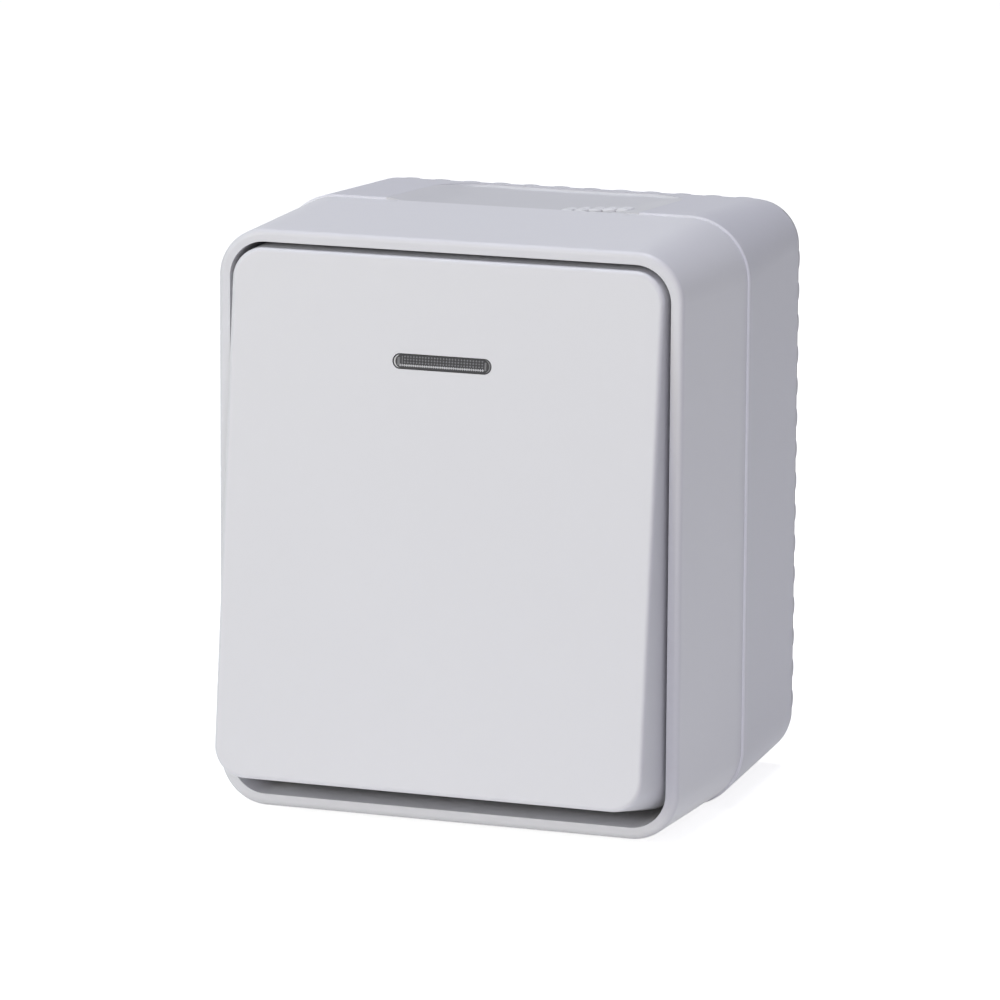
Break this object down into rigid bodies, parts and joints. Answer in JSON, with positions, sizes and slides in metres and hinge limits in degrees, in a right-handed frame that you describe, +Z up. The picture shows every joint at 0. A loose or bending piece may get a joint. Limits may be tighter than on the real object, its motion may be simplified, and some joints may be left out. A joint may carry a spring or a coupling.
{
  "type": "outdoor weatherproof switch",
  "caption": "Surface-mounted weatherproof rocker switch: a deep rounded wall box with a soft cable entry on top and a large tilting rocker with a lit indicator window.",
  "frame": {"origin": "middle of the back face that lies on the wall", "axes": "X to the right seen from the front, Y into the wall, Z up"},
  "size_m": [0.0778, 0.0704, 0.0935],
  "materials": {
    "case_plastic": "fine satin white moulding",
    "soft_seal": "matt pale grey elastomer",
    "screw_steel": "zinc plated",
    "plate_steel": "zinc plated sheet",
    "mechanism_plastic": "matt grey moulding",
    "cradle_plastic": "smooth natural moulding",
    "terminal_brass": "stamped brass",
    "contact_silver": "silver alloy",
    "spring_steel": "drawn wire",
    "lamp_glass": "clear glass",
    "lens_plastic": "smoked translucent"
  },
  "bodies": {
    "case": {"rear_base": "case_plastic", "front_frame": "case_plastic", "wall_seal": "soft_seal", "cable_entry_membrane": "soft_seal", "cover_seal": "soft_seal", "rocker_seal": "soft_seal", "frame_screws": "screw_steel", "mechanism_screws": "screw_steel", "cover_screws": "screw_steel", "terminal_screws": "screw_steel", "support_plate": "plate_steel", "mechanism_housing": "mechanism_plastic", "mechanism_cover": "mechanism_plastic", "lamp_holder": "mechanism_plastic", "indicator_lamp": "lamp_glass", "lamp_leads": "spring_steel", "common_terminal": "terminal_brass", "upper_terminal": "terminal_brass", "lower_terminal": "terminal_brass", "fixed_contacts": "contact_silver"},
    "rocker": {"rocker_plate": "case_plastic", "indicator_lens": "lens_plastic", "rocker_cradle": "cradle_plastic", "plunger_spring": "spring_steel"},
    "bridge": {"contact_bridge": "terminal_brass", "moving_contacts": "contact_silver"},
    "plunger": {"plunger": "cradle_plastic"}
  },
  "joints": [
    {"name": "rocker_tilt", "type": "hinge", "parent": "case", "child": "rocker", "pos_m": [0, -0.0463, 0], "axis": [1, 0, 0], "range_deg": [0, 12.4]},
    {"name": "bridge_rock", "type": "hinge", "parent": "case", "child": "bridge", "pos_m": [0, -0.0316, 0], "axis": [1, 0, 0], "range_deg": [-12.4, 0]},
    {"name": "plunger_slide", "type": "slide", "parent": "rocker", "child": "plunger", "axis": [0, -0.9942, 0.108], "range_m": [0, 0.0015], "stiffness_N_per_m": 300, "deforming": ["plunger_spring"]}
  ],
  "couplings": [
    {"joint": "bridge_rock", "follows": "rocker_tilt", "ratio": -1}
  ]
}
